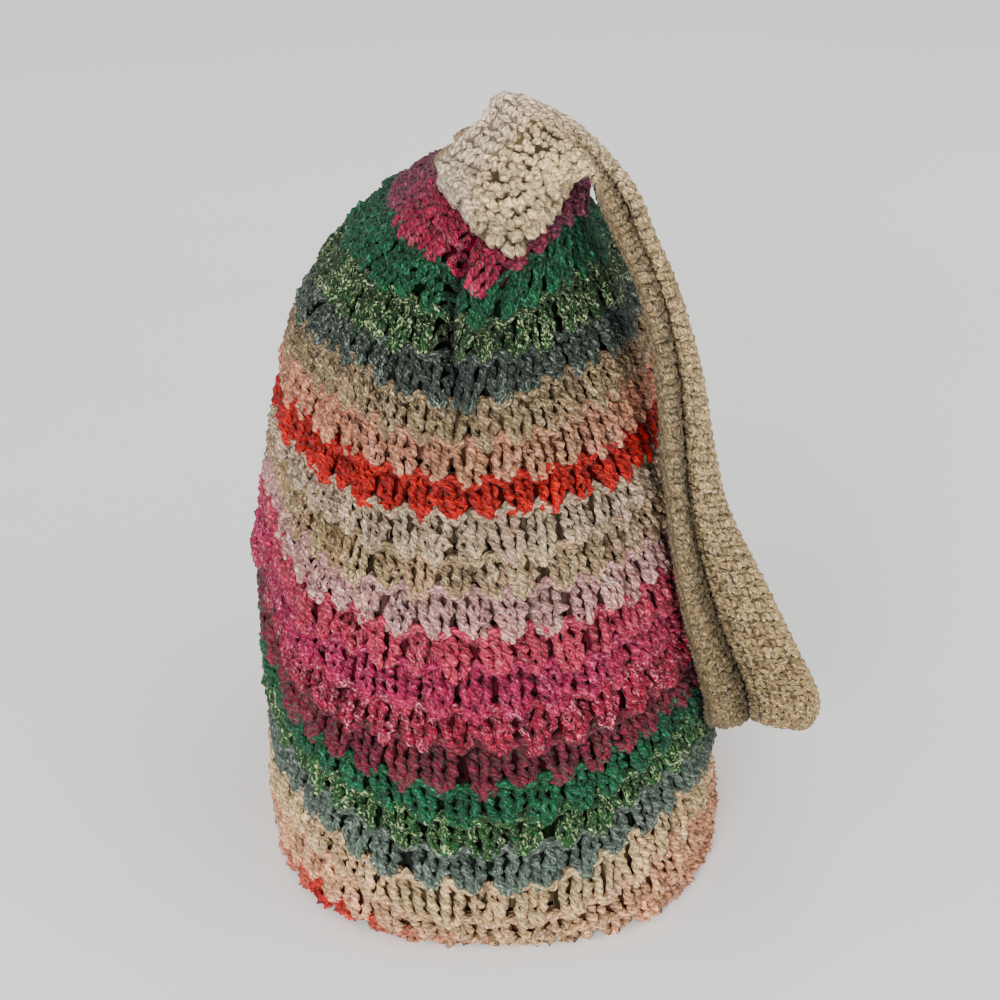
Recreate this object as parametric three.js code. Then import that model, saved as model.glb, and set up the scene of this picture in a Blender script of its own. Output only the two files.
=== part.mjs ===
// Crochet beach tote: a standing, filled-out bag of striped crochet with one beige strap.
// Millimetres, +Z up, origin on the floor under the middle of the base, near end towards -Y.
import * as THREE from 'three';

// Driving sizes
const WALL = 4.5;
const STRAP_THICK = 5.5;
const SEAM = 0.5;
const ROWS = 20;
const DIP_POWER = 10;
const GAP_COLUMNS = 27;
const GAP_ROWS = [2, 4, 6, 8, 10, 12, 14, 16, 18];
const GAP_WIDTH = 4.8;
const GAP_FROM = 0.08;
const GAP_TO = 0.52;
const ROOT_NEAR = { start: 0, left: 60, right: 50, turn: 1 };
const ROOT_FAR = { start: 0.5, left: 50, right: 26, turn: -1 };
const ROOT_SEAM = 1.7;
const ROOT_RISE = 6;
const EDGING = { width: 5.0, height: 6.0, stations: 26, sides: 8 };

// Colours
const STRIPED = 0xb98a82;
const BEIGE = 0xb7a079;

// Sections of the body, one per station: crochet row, height, half width, half length, roundness of
// the sides and of the ends, middle x, lift of the row at the corners, drop towards the far end, dip at
// the near end, lean down to the right
const BODY_COLUMNS = [
  'row', 'z', 'width', 'length', 'side', 'end', 'middle', 'lift', 'drop', 'dip', 'lean',
];
const BODY = [
  [-1, 0.0, 98, 172, 0.34, 0.36, 4, 0, 0, 0, 0],
  [0, 0.6, 107, 181, 0.34, 0.36, 4, 3, 0, 0, 0],
  [1, 5.0, 107, 187, 0.35, 0.37, 3, 9, 0, 0, 0],
  [2, 18.0, 108, 191, 0.37, 0.40, 1, 15, 0, 0, 0],
  [4, 51.0, 109, 191, 0.39, 0.465, 0, 14, 0, 0, 0],
  [6, 84.0, 109, 190, 0.39, 0.49, -2, 8, 0, 0, 0],
  [8, 118.0, 108, 184, 0.41, 0.50, -4, 5, 0, 0, 0],
  [10, 151.0, 104, 178, 0.435, 0.505, -5, 3, 0, 0, 0],
  [12, 184.0, 97, 171, 0.465, 0.50, -6, 3, 2, 0, 0],
  [14, 218.0, 90, 163, 0.485, 0.495, -7, 3, 6, 1, 1],
  [16, 252.0, 80, 154, 0.50, 0.49, -8, 3, 11, 3, 1],
  [18, 290.0, 61, 143, 0.52, 0.48, -4, 2, 22, 9, 0],
  [20, 335.0, 37, 127, 0.54, 0.47, 11, 0, 45, 30, 0],
];

// Sections of the strap between its roots: outer edge, inner edge, depth of the lengthwise valley, which
// goes straight back (a crown where it is negative), place of the valley from -1 outside to 1 inside
const STRAP_COLUMNS = ['ax', 'ay', 'az', 'bx', 'by', 'bz', 'valley', 'crease'];
const STRAP = [
  [-19, -80, 333, 40, -92, 331, -24, 0.00],
  [-1, -82, 352, 44, -95, 333, -14, 0.00],
  [9, -84, 363, 46, -98, 333, -4, -0.05],
  [38, -84, 350, 47, -99, 330, 5, -0.15],
  [62, -86, 324, 51, -99, 318, 11, -0.25],
  [72, -88, 302, 59, -101, 301, 13, -0.15],
  [83, -90, 277, 68, -103, 280, 14, -0.10],
  [94, -92, 239, 76, -107, 243, 14, 0.00],
  [101, -93, 201, 79, -112, 208, 14, 0.20],
  [108, -95, 174, 82, -116, 180, 14, 0.38],
  [124, -100, 142, 87, -119, 148, 13, 0.45],
  [140, -102, 109, 94, -119, 117, 12, 0.42],
  [152, -99, 82, 101, -113, 90, 10, 0.32],
  [151, -82, 60, 104, -97, 69, 8, 0.20],
  [149, -58, 54, 109, -66, 59, 5, 0.10],
  [146, -36, 66, 112, -36, 62, 4, 0.00],
  [134, -16, 98, 114, -2, 84, 3, 0.00],
  [108, -2, 150, 109, 38, 120, 2, 0.00],
  [93, 26, 200, 96, 66, 170, 2, 0.00],
  [75, 50, 248, 74, 90, 222, 1, 0.00],
  [63, 68, 283, 62, 110, 258, 0, 0.00],
  [46, 82, 304, 53, 122, 282, -2, 0.00],
  [18, 94, 308, 40, 126, 295, -5, 0.00],
];
const STRAP_ACROSS = 8;
const STRAP_SPAN = 3;
const VALLEY_POWER = 2.4;

const vec = (x, y, z) => new THREE.Vector3(x, y, z);

// Smooth value of one column of a table at a row between its stations
function atRow(table, row, column) {
  const last = table.length - 1;
  let i = 0;
  while (i < last - 1 && row >= table[i + 1][0]) i += 1;
  const slope = (k) => {
    const a = table[Math.max(k - 1, 0)];
    const b = table[Math.min(k + 1, last)];
    return (b[column] - a[column]) / (b[0] - a[0]);
  };
  const span = table[i + 1][0] - table[i][0];
  const t = (row - table[i][0]) / span;
  const t2 = t * t;
  const t3 = t2 * t;
  return (2 * t3 - 3 * t2 + 1) * table[i][column] + (t3 - 2 * t2 + t) * span * slope(i)
    + (3 * t2 - 2 * t3) * table[i + 1][column] + (t3 - t2) * span * slope(i + 1);
}

// One closed section of the body with its points found by their share of the way round
const sections = new Map();
function section(row) {
  if (sections.has(row)) return sections.get(row);
  const s = {};
  BODY_COLUMNS.forEach((name, column) => { s[name] = column ? atRow(BODY, row, column) : row; });
  const power = (value, exponent) => Math.sign(value) * Math.abs(value) ** (2 * exponent);
  const at = (angle) => {
    const along = power(Math.sin(angle), s.end);
    const across = power(Math.cos(angle), s.side);
    const near = ((1 - Math.sin(angle)) / 2) ** DIP_POWER;
    const raised = s.lift * Math.sin(2 * angle) ** 2 - s.drop * (1 + along) / 2;
    const z = s.z + raised - s.dip * near - s.lean * across;
    return vec(s.middle + s.width * across, s.length * along, z);
  };
  const steps = 720;
  const angles = [];
  const walked = [0];
  for (let k = 0; k <= steps; k += 1) {
    angles.push(2 * Math.PI * k / steps - Math.PI / 2);
    if (k) walked.push(walked[k - 1] + at(angles[k]).distanceTo(at(angles[k - 1])));
  }
  s.round = walked[steps];
  s.point = (share) => {
    const way = (share - Math.floor(share)) * s.round;
    let low = 0;
    let high = steps;
    while (high - low > 1) {
      const middle = (low + high) >> 1;
      if (walked[middle] <= way) low = middle;
      else high = middle;
    }
    const t = (way - walked[low]) / (walked[high] - walked[low]);
    return at(angles[low] + t * (angles[high] - angles[low]));
  };
  sections.set(row, s);
  return s;
}

// Point of the body's outer face with its upward and outward directions
function wall(row, share) {
  const point = section(row).point(share);
  const low = Math.max(row - 0.02, -1);
  const high = Math.min(row + 0.02, ROWS);
  const up = section(high).point(share).sub(section(low).point(share)).normalize();
  const round = section(row).point(share + 0.001).sub(section(row).point(share - 0.001));
  const out = round.cross(up).normalize();
  return { point, up, out };
}

// A body under construction: points, triangles and the skins between rings of points
class Skin {
  constructor() {
    this.points = [];
    this.faces = [];
  }

  add(point) {
    return this.points.push(point) - 1;
  }

  ring(points) {
    return points.map((point) => this.add(point));
  }

  quad(a, b, c, d) {
    this.faces.push([a, b, c], [a, c, d]);
  }

  // Skin between two closed rings whose points lie at the given shares of the way round
  zip(low, lowShares, high, highShares, flip) {
    let i = 0;
    let j = 0;
    const share = (shares, k) => shares[k % shares.length] + Math.floor(k / shares.length);
    while (i < low.length || j < high.length) {
      const a = low[i % low.length];
      const b = high[j % high.length];
      const nextLow = share(lowShares, i + 1);
      const nextHigh = share(highShares, j + 1);
      const climb = j < high.length && (i >= low.length || nextHigh < nextLow);
      const c = climb ? high[(j + 1) % high.length] : low[(i + 1) % low.length];
      this.faces.push(flip ? [a, b, c] : [a, c, b]);
      if (climb) j += 1;
      else i += 1;
    }
  }

  // Closed tube or band through rings of equal length, with flat ends
  loft(rings) {
    const made = rings.map((points) => this.ring(points));
    const count = made[0].length;
    for (let k = 0; k + 1 < made.length; k += 1) {
      for (let i = 0; i < count; i += 1) {
        const j = (i + 1) % count;
        this.quad(made[k][i], made[k][j], made[k + 1][j], made[k + 1][i]);
      }
    }
    return made;
  }

  mesh(name, color) {
    const geometry = new THREE.BufferGeometry();
    const flat = this.points.flatMap((p) => [p.x, p.y, p.z]);
    geometry.setAttribute('position', new THREE.Float32BufferAttribute(flat, 3));
    geometry.setIndex(this.faces.flat());
    geometry.computeVertexNormals();
    const material = new THREE.MeshStandardMaterial({ color, roughness: 0.95, name: `${name}_yarn` });
    const mesh = new THREE.Mesh(geometry, material);
    mesh.name = name;
    return mesh;
  }
}

// Rings of the body from the base to the mouth, with the gaps that each pair of them frames
function bodyRings() {
  const rings = [-1, -0.4, 0.2, 1, 1.5].map((row) => ({ row, odd: 0, gap: false }));
  GAP_ROWS.forEach((row, k) => {
    rings.push({ row: row + GAP_FROM, odd: k % 2, gap: true });
    rings.push({ row: row + GAP_TO, odd: k % 2, gap: false });
  });
  rings.push({ row: 19.3, odd: 0, gap: false }, { row: ROWS, odd: 1, gap: false });
  for (const ring of rings) {
    const half = GAP_WIDTH / 2 / section(ring.row).round;
    ring.shares = [];
    for (let k = 0; k < GAP_COLUMNS; k += 1) {
      const middle = (k + 0.5 + ring.odd / 2) / GAP_COLUMNS;
      ring.shares.push(middle - half, middle + half, middle + 0.5 / GAP_COLUMNS);
    }
  }
  return rings;
}

// The body: outer and inner skins, the base, the edge of the mouth and the gaps between clusters
function bagBody() {
  const skin = new Skin();
  const rings = bodyRings();
  for (const ring of rings) {
    const places = ring.shares.map((share) => wall(ring.row, share));
    ring.outer = skin.ring(places.map((p) => p.point));
    ring.inner = skin.ring(places.map((p) => p.point.clone().addScaledVector(p.out, -WALL)));
  }
  for (let k = 0; k + 1 < rings.length; k += 1) {
    const a = rings[k];
    const b = rings[k + 1];
    if (!a.gap) {
      skin.zip(a.outer, a.shares, b.outer, b.shares, false);
      skin.zip(a.inner, a.shares, b.inner, b.shares, true);
      continue;
    }
    for (let i = 0; i < a.outer.length; i += 1) {
      const j = (i + 1) % a.outer.length;
      if (i % 3) {
        skin.quad(a.outer[i], a.outer[j], b.outer[j], b.outer[i]);
        skin.quad(a.inner[j], a.inner[i], b.inner[i], b.inner[j]);
      } else {
        skin.quad(a.outer[i], a.outer[j], a.inner[j], a.inner[i]);
        skin.quad(b.outer[j], b.outer[i], b.inner[i], b.inner[j]);
        skin.quad(b.outer[i], a.outer[i], a.inner[i], b.inner[i]);
        skin.quad(a.outer[j], b.outer[j], b.inner[j], a.inner[j]);
      }
    }
  }
  const base = rings[0];
  const top = rings[rings.length - 1];
  const under = skin.add(vec(0, 0, 0));
  const floor = skin.add(vec(0, 0, WALL));
  for (let i = 0; i < base.outer.length; i += 1) {
    const j = (i + 1) % base.outer.length;
    skin.faces.push([under, base.outer[j], base.outer[i]], [floor, base.inner[i], base.inner[j]]);
    skin.quad(top.outer[i], top.outer[j], top.inner[j], top.inner[i]);
  }
  return skin.mesh('bag_body', STRIPED);
}

// Point in the middle of the wall's thickness at the mouth, raised by a height along the wall
function mouth(share, height) {
  const { point, up, out } = wall(ROWS, share);
  const middle = point.addScaledVector(out, -WALL / 2).addScaledVector(up, height);
  return { point: middle, up, out };
}

// Places across a strap root, from its left edge to its right edge, raised above the mouth
const step = (k) => 2 * k / STRAP_ACROSS - 1;
function root({ start, left, right, turn }, rise) {
  const places = [];
  for (let k = 0; k <= STRAP_ACROSS; k += 1) {
    const way = step(k) * (step(k) < 0 ? left : right);
    const place = mouth(start + turn * way / section(ROWS).round, ROOT_SEAM);
    place.point.z += rise;
    places.push(place);
  }
  return places;
}

// Middle lines of the strap's sections from the near root over the loop to the far root
function strapSections() {
  const rows = STRAP.map((row) => Object.fromEntries(STRAP_COLUMNS.map((name, k) => [name, row[k]])));
  const middles = rows.map((r) => vec(r.ax + r.bx, r.ay + r.by, r.az + r.bz).multiplyScalar(0.5));
  const lines = rows.map((r, i) => {
    const before = middles[Math.max(i - 1, 0)];
    const after = middles[Math.min(i + 1, rows.length - 1)];
    const a = vec(r.ax, r.ay, r.az);
    const b = vec(r.bx, r.by, r.bz);
    const out = b.clone().sub(a).cross(after.clone().sub(before)).normalize();
    const push = r.valley < 0 ? out : vec(0, -1, 0);
    const line = [];
    for (let k = 0; k <= STRAP_ACROSS; k += 1) {
      const side = Math.abs(step(k));
      const place = step(k) + r.crease * (1 - side);
      const profile = r.valley < 0 ? 1 - side ** 1.5 : (1 - side) ** VALLEY_POWER;
      line.push(a.clone().lerp(b, (place + 1) / 2).addScaledVector(push, -r.valley * profile));
    }
    return line;
  });
  const near = [0, ROOT_RISE].map((rise) => root(ROOT_NEAR, rise).map((place) => place.point));
  const far = [ROOT_RISE, 0].map((rise) => root(ROOT_FAR, rise).map((place) => place.point));
  return [...near, ...lines, ...far];
}

// The strap: a band of even thickness through smooth lengthwise curves
function strap() {
  const lines = strapSections();
  const count = (lines.length - 1) * STRAP_SPAN;
  const curves = lines[0].map((_, k) => {
    const through = lines.map((line) => line[k]);
    return new THREE.CatmullRomCurve3(through, false, 'catmullrom', 0.5);
  });
  const grid = [];
  for (let i = 0; i <= count; i += 1) grid.push(curves.map((curve) => curve.getPoint(i / count)));
  const outward = (i, k) => {
    if (i < STRAP_SPAN) return root(ROOT_NEAR, 0)[k].out;
    if (i > count - STRAP_SPAN) return root(ROOT_FAR, 0)[k].out;
    const side = grid[i][Math.min(k + 1, STRAP_ACROSS)].clone().sub(grid[i][Math.max(k - 1, 0)]);
    return side.cross(grid[i + 1][k].clone().sub(grid[i - 1][k])).normalize();
  };
  const rings = grid.map((line, i) => {
    const half = (i % count ? STRAP_THICK : WALL) / 2;
    const face = (side) => line.map((point, k) => point.clone().addScaledVector(outward(i, k), side * half));
    return [...face(1), ...face(-1).reverse()];
  });
  const skin = new Skin();
  const made = skin.loft(rings);
  const ends = [made[0], made[made.length - 1]];
  ends.forEach((ring, which) => {
    const last = ring.length - 1;
    for (let k = 0; k < STRAP_ACROSS; k += 1) {
      const around = [ring[k], ring[last - k], ring[last - k - 1], ring[k + 1]];
      skin.quad(...(which ? around.reverse() : around));
    }
  });
  return skin.mesh('strap', BEIGE);
}

// Beige edging along one side of the mouth between the two strap roots
function rim(name, from, to) {
  const skin = new Skin();
  const rings = [];
  for (let i = 0; i <= EDGING.stations; i += 1) {
    const share = from + (to - from) * i / EDGING.stations;
    const foot = mouth(share, SEAM + EDGING.height / 2);
    const ring = [];
    for (let k = 0; k < EDGING.sides; k += 1) {
      const angle = -2 * Math.PI * (k + 0.5) / EDGING.sides;
      const point = foot.point.clone();
      point.addScaledVector(foot.out, EDGING.width / 2 * Math.cos(angle) / Math.cos(Math.PI / EDGING.sides));
      point.addScaledVector(foot.up, EDGING.height / 2 * Math.sin(angle) / Math.cos(Math.PI / EDGING.sides));
      ring.push(point);
    }
    rings.push(ring);
  }
  const made = skin.loft(rings);
  const last = made[made.length - 1];
  for (let k = 1; k + 1 < EDGING.sides; k += 1) {
    skin.faces.push([made[0][0], made[0][k + 1], made[0][k]], [last[0], last[k], last[k + 1]]);
  }
  return skin.mesh(name, BEIGE);
}

// The whole tote
const whole = section(ROWS).round;
const clear = 3.5 / whole;
const rightFrom = ROOT_NEAR.right / whole + clear;
const rightTo = 0.5 - ROOT_FAR.right / whole - clear;
const leftFrom = 0.5 + ROOT_FAR.left / whole + clear;
const leftTo = 1 - ROOT_NEAR.left / whole - clear;
const tote = new THREE.Group();
tote.name = 'crochet_beach_tote';
tote.add(bagBody(), strap(), rim('rim_right', rightFrom, rightTo), rim('rim_left', leftFrom, leftTo));

export default tote;
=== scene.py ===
import math

import bpy
import numpy as np
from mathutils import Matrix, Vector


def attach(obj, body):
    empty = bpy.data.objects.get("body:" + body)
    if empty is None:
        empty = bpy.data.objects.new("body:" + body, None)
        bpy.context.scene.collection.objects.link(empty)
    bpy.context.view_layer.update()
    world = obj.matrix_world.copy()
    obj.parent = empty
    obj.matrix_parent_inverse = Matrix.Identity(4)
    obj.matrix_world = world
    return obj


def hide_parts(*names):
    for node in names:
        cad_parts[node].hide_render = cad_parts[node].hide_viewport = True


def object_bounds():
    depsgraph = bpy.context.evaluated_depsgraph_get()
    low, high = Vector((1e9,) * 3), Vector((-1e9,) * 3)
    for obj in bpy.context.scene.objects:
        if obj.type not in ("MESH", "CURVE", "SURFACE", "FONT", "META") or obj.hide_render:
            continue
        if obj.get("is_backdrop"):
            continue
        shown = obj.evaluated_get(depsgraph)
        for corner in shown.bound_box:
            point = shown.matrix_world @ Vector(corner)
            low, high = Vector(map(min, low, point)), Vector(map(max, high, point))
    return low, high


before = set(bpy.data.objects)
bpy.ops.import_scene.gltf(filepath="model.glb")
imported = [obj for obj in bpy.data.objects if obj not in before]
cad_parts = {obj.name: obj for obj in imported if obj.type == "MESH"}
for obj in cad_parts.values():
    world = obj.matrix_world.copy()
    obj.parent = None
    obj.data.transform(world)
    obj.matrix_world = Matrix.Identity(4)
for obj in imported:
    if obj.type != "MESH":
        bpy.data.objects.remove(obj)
CAD_BOX = [[float(v) for v in corner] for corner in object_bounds()]
rng = np.random.default_rng(11)
TAU = 2 * math.pi

# Driving sizes in metres, repeated from the part's source; a root's lap over the top row is the scene's own
WALL = 0.0045
ROWS = 20
ROOT_NEAR = {"start": 0.0, "left": 0.060, "right": 0.050, "turn": 1, "lap": 0.0045}
ROOT_FAR = {"start": 0.5, "left": 0.050, "right": 0.026, "turn": -1, "lap": 0.0}
ROOT_SEAM = 0.0017
ROOT_RISE = 0.006
VALLEY_POWER = 2.4
DIP_POWER = 10

# Sections of the body: crochet row, then in millimetres height, half width, half length, roundness of
# sides and ends, middle x, lift at the corners, drop to the far end, dip at the near end, lean to the right
BODY = np.array([
    [-1, 0.0, 98, 172, 0.34, 0.36, 4, 0, 0, 0, 0],
    [0, 0.6, 107, 181, 0.34, 0.36, 4, 3, 0, 0, 0],
    [1, 5.0, 107, 187, 0.35, 0.37, 3, 9, 0, 0, 0],
    [2, 18.0, 108, 191, 0.37, 0.40, 1, 15, 0, 0, 0],
    [4, 51.0, 109, 191, 0.39, 0.465, 0, 14, 0, 0, 0],
    [6, 84.0, 109, 190, 0.39, 0.49, -2, 8, 0, 0, 0],
    [8, 118.0, 108, 184, 0.41, 0.50, -4, 5, 0, 0, 0],
    [10, 151.0, 104, 178, 0.435, 0.505, -5, 3, 0, 0, 0],
    [12, 184.0, 97, 171, 0.465, 0.50, -6, 3, 2, 0, 0],
    [14, 218.0, 90, 163, 0.485, 0.495, -7, 3, 6, 1, 1],
    [16, 252.0, 80, 154, 0.50, 0.49, -8, 3, 11, 3, 1],
    [18, 290.0, 61, 143, 0.52, 0.48, -4, 2, 22, 9, 0],
    [20, 335.0, 37, 127, 0.54, 0.47, 11, 0, 45, 30, 0],
], float)

# Sections of the strap in millimetres: outer edge, inner edge, depth of the lengthwise valley, which goes
# straight back (a crown off the band where it is negative), and place of the valley from -1 at the outer
# edge to 1 at the inner one
STRAP = np.array([
    [-19, -80, 333, 40, -92, 331, -24, 0.00],
    [-1, -82, 352, 44, -95, 333, -14, 0.00],
    [9, -84, 363, 46, -98, 333, -4, -0.05],
    [38, -84, 350, 47, -99, 330, 5, -0.15],
    [62, -86, 324, 51, -99, 318, 11, -0.25],
    [72, -88, 302, 59, -101, 301, 13, -0.15],
    [83, -90, 277, 68, -103, 280, 14, -0.10],
    [94, -92, 239, 76, -107, 243, 14, 0.00],
    [101, -93, 201, 79, -112, 208, 14, 0.20],
    [108, -95, 174, 82, -116, 180, 14, 0.38],
    [124, -100, 142, 87, -119, 148, 13, 0.45],
    [140, -102, 109, 94, -119, 117, 12, 0.42],
    [152, -99, 82, 101, -113, 90, 10, 0.32],
    [151, -82, 60, 104, -97, 69, 8, 0.20],
    [149, -58, 54, 109, -66, 59, 5, 0.10],
    [146, -36, 66, 112, -36, 62, 4, 0.00],
    [134, -16, 98, 114, -2, 84, 3, 0.00],
    [108, -2, 150, 109, 38, 120, 2, 0.00],
    [93, 26, 200, 96, 66, 170, 2, 0.00],
    [75, 50, 248, 74, 90, 222, 1, 0.00],
    [63, 68, 283, 62, 110, 258, 0, 0.00],
    [46, 82, 304, 53, 122, 282, -2, 0.00],
    [18, 94, 308, 40, 126, 295, -5, 0.00],
], float)

# Stripes from the base up, as screen colours: yarn, fleck, share of flecks
STRIPES = [
    ((192, 14, 6), (212, 44, 26), 0.20),
    ((220, 140, 106), (248, 204, 176), 0.40),
    ((190, 158, 114), (240, 218, 178), 0.45),
    ((72, 86, 76), (172, 188, 172), 0.45),
    ((20, 68, 26), (196, 216, 154), 0.72),
    ((4, 78, 44), (76, 170, 122), 0.40),
    ((110, 20, 44), (76, 76, 64), 0.85),
    ((158, 8, 50), (248, 158, 182), 0.55),
    ((172, 20, 76), (236, 120, 154), 0.48),
    ((190, 46, 78), (246, 142, 150), 0.48),
    ((204, 144, 138), (252, 228, 220), 0.58),
    ((170, 138, 98), (236, 214, 176), 0.55),
    ((192, 162, 130), (246, 232, 210), 0.55),
]
TOP_STRIPE = ((184, 18, 70), (122, 100, 102), 0.60)
MAUVE = (136, 50, 80)  # what the top stripe turns to away from the near end
BLENDED = (7, 8, 11, 14)  # rows whose yarn turns to the next row's colour in places

# Brightness of the rows' yarn, partly its own tone and partly painted light, with the lower rows brightened
# and rows 15 and 16 darkened as in shade: crochet rows, factors
ROW_TONES_AND_LIGHT = (
    [0, 1, 2, 3, 5, 6, 7, 9, 12, 13, 14, 15, 16, 18, 19],
    [1.25, 1.27, 1.40, 1.34, 0.97, 1.08, 0.91, 0.91, 0.92, 0.82, 0.77, 0.50, 0.46, 0.80, 0.90],
)

# Beige yarn: strap and edging, the strap's hanging part, its near root, the root's left side, flecks of
# the strap and of the edging
BEIGE = (182, 154, 110)
BEIGE_LOW = (165, 138, 91)
BEIGE_ROOT = (240, 208, 158)
BEIGE_PALE = (228, 202, 174)
BEIGE_FLECK = (236, 218, 180)
EDGING_FLECK = (206, 190, 158)

TONE = 0.86  # brightness of all yarn in the bright studio


def linear(screen):
    """Screen colour, 0 to 255, as linear light with the yarn's tone."""
    value = np.asarray(screen, float) / 255
    return TONE * np.where(value <= 0.04045, value / 12.92, ((value + 0.055) / 1.055) ** 2.4)


def with_fourth(colour, fourth):
    """Colours with a fourth value: a brightness that paints shade, or a share of flecks."""
    made = np.empty((*np.shape(fourth), 4))
    made[..., :3] = colour
    made[..., 3] = fourth
    return made


def unit(vectors):
    return vectors / np.maximum(np.linalg.norm(vectors, axis=-1, keepdims=True), 1e-12)


def ramp(value, span):
    """From 0 where a value is 0 or less to 1 where it is the span or more."""
    return np.clip(value / span, 0, 1)


def walk(points):
    """Length along a line of points, up to each of them."""
    return np.concatenate([[0], np.cumsum(np.linalg.norm(np.diff(points, axis=0), axis=1))])


def smooth(t, a, slope_a, b, slope_b):
    """Smooth value at t on the way from a to b, with the slopes there."""
    return ((2 * t**3 - 3 * t**2 + 1) * a + (t**3 - 2 * t**2 + t) * slope_a
            + (3 * t**2 - 2 * t**3) * b + (t**3 - t**2) * slope_b)


def between(grid, u, v):
    """Value of a grid at places u and v, counted in its rows and columns."""
    i, j = np.minimum(u.astype(int), grid.shape[0] - 2), np.minimum(v.astype(int), grid.shape[1] - 2)
    f, g = (u - i)[..., None], (v - j)[..., None]
    low = grid[i, j] * (1 - g) + grid[i, j + 1] * g
    high = grid[i + 1, j] * (1 - g) + grid[i + 1, j + 1] * g
    return low * (1 - f) + high * f


# Surface of the body as a dense grid of points and outward directions, by row and share of the way round
GRID_STEP = 0.05
AROUND = 1080
COARSE = 720  # steps round a section that its length is measured in


def body_columns(rows):
    """Smooth values of all of the body's columns at the given rows."""
    keys = BODY[:, 0]
    slope = np.empty_like(BODY)
    slope[1:-1] = (BODY[2:] - BODY[:-2]) / (keys[2:] - keys[:-2])[:, None]
    slope[0] = (BODY[1] - BODY[0]) / (keys[1] - keys[0])
    slope[-1] = (BODY[-1] - BODY[-2]) / (keys[-1] - keys[-2])
    i = np.clip(np.searchsorted(keys, rows, side="right") - 1, 0, len(keys) - 2)
    span = (keys[i + 1] - keys[i])[:, None]
    t = (rows - keys[i])[:, None] / span
    return smooth(t, BODY[i], span * slope[i], BODY[i + 1], span * slope[i + 1])


def body_grid():
    """Rows of the grid, its points, outward and upward directions, and lengths round."""
    rows = np.arange(-1, ROWS + GRID_STEP / 2, GRID_STEP)
    angles = TAU * np.arange(COARSE + 1) / COARSE - math.pi / 2
    points, rounds = [], []
    for _, z, width, length, side, end, middle, lift, drop, dip, lean in body_columns(rows):

        def at(angle):
            along = np.sign(np.sin(angle)) * np.abs(np.sin(angle)) ** (2 * end)
            across = np.sign(np.cos(angle)) * np.abs(np.cos(angle)) ** (2 * side)
            near = ((1 - np.sin(angle)) / 2) ** DIP_POWER
            raised = lift * np.sin(2 * angle) ** 2 - drop * (1 + along) / 2
            height = z + raised - dip * near - lean * across
            return np.stack([middle + width * across, length * along, height], -1) / 1000

        coarse = at(angles)
        walked = walk(coarse)
        shares = np.arange(AROUND + 1) / AROUND * walked[-1]
        points.append(at(np.interp(shares, walked, angles)))
        rounds.append(walked[-1])
    points = np.array(points)
    points[:, -1] = points[:, 0]
    ring = points[:, :-1]
    around = np.roll(ring, -1, 1) - np.roll(ring, 1, 1)
    up = np.gradient(ring, axis=0)
    out = unit(np.cross(around, up))
    wrap = lambda grid: np.concatenate([grid, grid[:, :1]], 1)
    return rows, points, wrap(out), wrap(unit(up)), np.array(rounds)


GRID_ROWS, POINTS, OUT, UP, ROUNDS = body_grid()


def round_at(row):
    return np.interp(row, GRID_ROWS, ROUNDS)


def pick(grid, share, row):
    """Value of a grid of the body at shares of the way round and rows."""
    up = np.clip((row + 1) / GRID_STEP, 0, len(GRID_ROWS) - 1)
    return between(grid, up, (share - np.floor(share)) * AROUND)


# Unevenness of the filled bag: waves round it (times round, turn per row, phase, height in metres),
# and creases (share, half width, first row, last row, depth in metres)
WAVES = [(4, 0.31, 0.4, 0.0011), (7, -0.44, 1.9, 0.0009), (12, 0.65, 2.7, 0.0006), (19, -0.9, 0.6, 0.0004)]
CREASES = [(0.0, 0.045, 14.0, 19.4, 0.004), (0.26, 0.09, 17.8, 20.0, 0.011), (0.021, 0.009, 4.0, 7.5, 0.0014)]

# The slit that runs down from the strap's root: crochet rows, shares of the way round, first and last row,
# half width, depth, painted shade in it
SLIT_ROWS = [16.2, 16.7, 17.4, 18.2, 18.7, 19.2, 19.6]
SLIT_SHARES = [-0.0085, -0.0117, -0.0172, -0.0230, -0.0306, -0.0327, -0.0366]
SLIT_FIRST, SLIT_LAST = 15.9, 19.9
SLIT_HALF = 0.0055
SLIT_DEPTH = 0.010
SLIT_PAINTED_SHADE = 0.85


def creased(share, row, at, half, first, last):
    """How far into a crease a place lies, 0 to 1."""
    away = (share - at + 0.5) % 1 - 0.5
    reach = ramp(row - first, 0.8) * ramp(last - row, 0.8)
    return reach * np.exp(-(away / half) ** 2)


def slit(share, row, wide=1.0):
    """How far into the slit, or a groove so many times as wide, a place lies, 0 to 1."""
    middle = np.interp(row, SLIT_ROWS, SLIT_SHARES)
    return creased(share, row, middle, wide * SLIT_HALF, SLIT_FIRST, SLIT_LAST + 0.1 * wide)


def uneven(share, row):
    """Height of the filled bag's surface over its smooth sections."""
    rise = sum(high * np.cos(TAU * times * share + turn * row + phase) for times, turn, phase, high in WAVES)
    rise = rise * ramp(row - 0.5, 3) * ramp(19.2 - row, 3)
    for *crease, depth in CREASES:
        rise = rise - depth * creased(share, row, *crease)
    return rise - SLIT_DEPTH * slit(share, row)


# Rows that ride up on the left flank: crochet row, rows of rise, shares of the way round and fade at both
RISE_ROWS = [0.5, 2.0, 3.5, 5.0, 7.0, 9.0, 10.0, 11.0, 12.0, 13.0, 14.5]
RISE = [0.0, 0.4, 1.0, 1.5, 1.7, 1.5, 1.2, 1.0, 0.6, 0.25, 0.0]
FLANK_FROM, FLANK_TO, FLANK_FADE = 0.52, 0.91, 0.11


def ride_up(share, row):
    """Row of the smooth sections at which a crochet row lies."""
    share = share - np.floor(share)
    flank = ramp(FLANK_TO - share, FLANK_FADE) * ramp(share - FLANK_FROM, FLANK_FADE)
    return row + np.interp(row, RISE_ROWS, RISE) * flank * flank * (3 - 2 * flank)


LOWEST_MIDDLE = 0.0006  # of a strand or the cloth over the floor
LOWEST_FACE = 0.0001  # of a strand's own surface


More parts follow.
